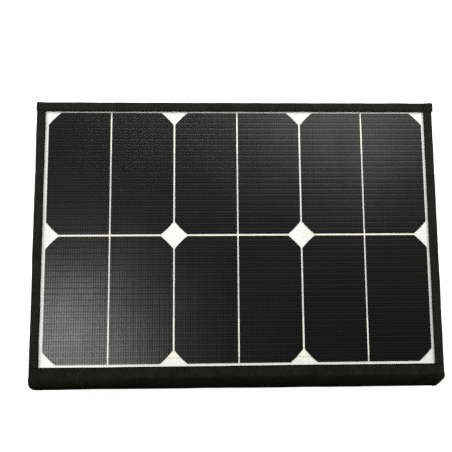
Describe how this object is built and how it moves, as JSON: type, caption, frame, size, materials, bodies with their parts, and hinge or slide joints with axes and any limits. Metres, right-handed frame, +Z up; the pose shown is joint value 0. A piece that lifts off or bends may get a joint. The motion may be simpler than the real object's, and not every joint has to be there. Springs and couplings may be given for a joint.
{
  "type": "folding solar panel",
  "caption": "Folding fabric-cased solar panel: hinged leaves of black solar cells stack flat, with a zipped pocket for the regulator underneath.",
  "frame": {"origin": "on the floor under the middle of the folded panel's bounding box", "axes": "+Z up, out of the front leaf's cell face; +X along the folds, the panel's long side; +Y from the front fold towards the rear fold"},
  "size_m": [0.4084, 0.2886, 0.0322],
  "materials": {
    "clear_front_sheet": "clear polymer, embossed with a fine grid, low gloss",
    "clear_encapsulant": "clear, bonded",
    "black_cell": "near-black anti-reflection coated silicon",
    "tinned_copper": "bright tinned ribbon",
    "cream_insulation": "matt cream film",
    "white_backsheet": "matt white film",
    "stiffener_board": "sawn glass-fibre board",
    "case_fabric": "woven polyester, olive black",
    "binding_tape": "folded woven tape, olive black",
    "fold_fabric": "woven polyester, soft, olive black",
    "pocket_fabric": "woven polyester, olive black",
    "zip_tape": "knitted zip tape",
    "zip_coil": "nylon coil",
    "zip_metal": "black enamelled zinc",
    "black_plastic": "fine moulded texture",
    "circuit_board": "green solder mask",
    "socket_steel": "bright plated steel",
    "green_lens": "translucent",
    "wire_jacket": "smooth",
    "cable_jacket": "satin"
  },
  "bodies": {
    "rear_leaf": {"rear_back_cover": "case_fabric", "rear_stiffener_board": "stiffener_board", "rear_terminal_block": "black_plastic", "rear_lead_wires": "wire_jacket", "rear_backsheet": "white_backsheet", "rear_clear_sheet": "clear_front_sheet", "rear_side_tapes": "binding_tape", "rear_cell_links": "tinned_copper", "rear_insulation_strips": "cream_insulation", "rear_cells": "black_cell", "rear_encapsulant": "clear_encapsulant", "rear_free_edge_tape": "binding_tape", "rear_fold_strip_lower": "fold_fabric", "pocket_panel": "pocket_fabric", "pocket_gusset": "pocket_fabric", "zip_tapes": "zip_tape", "zip_coils": "zip_coil", "zip_stops": "zip_metal", "regulator_lower_case": "black_plastic", "regulator_upper_case": "black_plastic", "regulator_circuit_board": "circuit_board", "usb_socket": "socket_steel", "dc_socket": "black_plastic", "indicator_lens": "green_lens", "panel_lead": "cable_jacket", "output_cable": "cable_jacket", "cable_plug": "black_plastic"},
    "middle_leaf": {"middle_back_cover": "case_fabric", "middle_stiffener_board": "stiffener_board", "middle_terminal_block": "black_plastic", "middle_lead_wires": "wire_jacket", "middle_backsheet": "white_backsheet", "middle_clear_sheet": "clear_front_sheet", "middle_side_tapes": "binding_tape", "middle_cell_links": "tinned_copper", "middle_insulation_strips": "cream_insulation", "middle_cells": "black_cell", "middle_encapsulant": "clear_encapsulant", "front_fold_strip_lower": "fold_fabric", "rear_fold_strip_upper": "fold_fabric"},
    "front_leaf": {"front_back_cover": "case_fabric", "front_stiffener_board": "stiffener_board", "front_terminal_block": "black_plastic", "front_lead_wires": "wire_jacket", "front_backsheet": "white_backsheet", "front_clear_sheet": "clear_front_sheet", "front_side_tapes": "binding_tape", "front_cell_links": "tinned_copper", "front_insulation_strips": "cream_insulation", "front_cells": "black_cell", "front_encapsulant": "clear_encapsulant", "front_top_edge_tape": "binding_tape", "front_fold_strip_upper": "fold_fabric"},
    "fold_spine": {"fold_spine": "fold_fabric"},
    "zip_slider": {"zip_slider": "zip_metal"},
    "zip_pull": {"zip_pull": "zip_metal"}
  },
  "joints": [
    {"name": "rear_fold", "type": "hinge", "parent": "rear_leaf", "child": "middle_leaf", "pos_m": [0, 0.14335, 0.02], "axis": [-1, 0, 0], "range_deg": [0, 180]},
    {"name": "front_fold", "type": "hinge", "parent": "middle_leaf", "child": "fold_spine", "pos_m": [0, -0.14335, 0.02065], "axis": [1, 0, 0], "range_deg": [0, 90]},
    {"name": "front_fold_upper", "type": "hinge", "parent": "fold_spine", "child": "front_leaf", "pos_m": [0, -0.14335, 0.03135], "axis": [1, 0, 0], "range_deg": [0, 90]},
    {"name": "zip_slide", "type": "slide", "parent": "rear_leaf", "child": "zip_slider", "axis": [-1, 0, 0], "range_m": [0, 0.276]},
    {"name": "zip_pull_swing", "type": "hinge", "parent": "zip_slider", "child": "zip_pull", "pos_m": [0.138, -0.11775, 0.0076], "axis": [0, 0, 1], "range_deg": [0, 180]}
  ],
  "couplings": [
    {"joint": "front_fold_upper", "follows": "front_fold", "ratio": 1}
  ]
}
